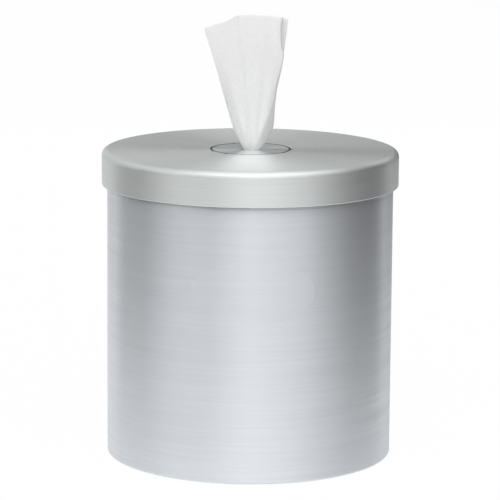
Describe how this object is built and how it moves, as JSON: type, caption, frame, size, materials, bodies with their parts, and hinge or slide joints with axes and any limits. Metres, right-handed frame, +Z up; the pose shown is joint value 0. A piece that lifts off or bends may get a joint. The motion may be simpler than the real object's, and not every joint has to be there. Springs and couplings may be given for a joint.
{
  "type": "countertop wipes dispenser",
  "caption": "Round brushed-steel counter dispenser for a centre-pull roll of wipes, with a lift-off lid, twist-out port, plastic liner and a wipe standing ready to pull.",
  "frame": {"origin": "on the counter, under the middle of the drum, at the underside of the rubber feet", "axes": "+Z up along the drum's axis; -Y towards the front, the side with the bare label film; +X to the right seen from the front"},
  "size_m": [0.249, 0.249, 0.372],
  "materials": {
    "brushed_steel": "brushed around the axis, satin",
    "zinc_steel": "zinc plated fasteners",
    "black_plastic": "fine moulded grain",
    "grey_plastic": "smooth moulded",
    "liner_plastic": "natural polyethylene, satin",
    "black_rubber": "matt",
    "foam_rubber": "closed-cell foam",
    "silicone": "translucent, satin",
    "clear_film": "clear satin film, unprinted",
    "nonwoven_wipe": "soft white nonwoven, moist"
  },
  "bodies": {
    "drum": {"drum_wall": "brushed_steel", "drum_base": "brushed_steel", "label_film": "clear_film", "rubber_feet": "black_rubber", "foot_screws": "zinc_steel", "foot_nuts": "zinc_steel"},
    "liner": {"liner_pail": "liner_plastic"},
    "roll": {"wipe_roll": "nonwoven_wipe"},
    "lid": {"lid_cover": "brushed_steel", "lid_studs": "zinc_steel", "lid_ring": "grey_plastic", "lid_gasket": "foam_rubber", "port_seat": "black_plastic", "seat_nuts": "zinc_steel"},
    "insert": {"port_plate": "brushed_steel", "port_body": "black_plastic", "port_seal": "black_rubber", "star_diaphragm": "silicone", "throat_guide": "black_plastic", "guide_screws": "zinc_steel"},
    "wipe": {"wipe_strand": "nonwoven_wipe", "wipe_sheet": "nonwoven_wipe"}
  },
  "joints": [
    {"name": "liner_lift", "type": "slide", "parent": "drum", "child": "liner", "axis": [0, 0, 1], "range_m": [0, 0.26]},
    {"name": "roll_lift", "type": "slide", "parent": "liner", "child": "roll", "axis": [0, 0, 1], "range_m": [0, 0.245]},
    {"name": "lid_lift", "type": "slide", "parent": "roll", "child": "lid", "axis": [0, 0, 1], "range_m": [0, 0.25]},
    {"name": "port_twist", "type": "hinge", "parent": "lid", "child": "insert", "pos_m": [0, 0, 0.26], "axis": [0, 0, 1], "range_deg": [0, 60]},
    {"name": "wipe_pull", "type": "slide", "parent": "insert", "child": "wipe", "axis": [0, 0, 1], "range_m": [0, 0.15]}
  ]
}
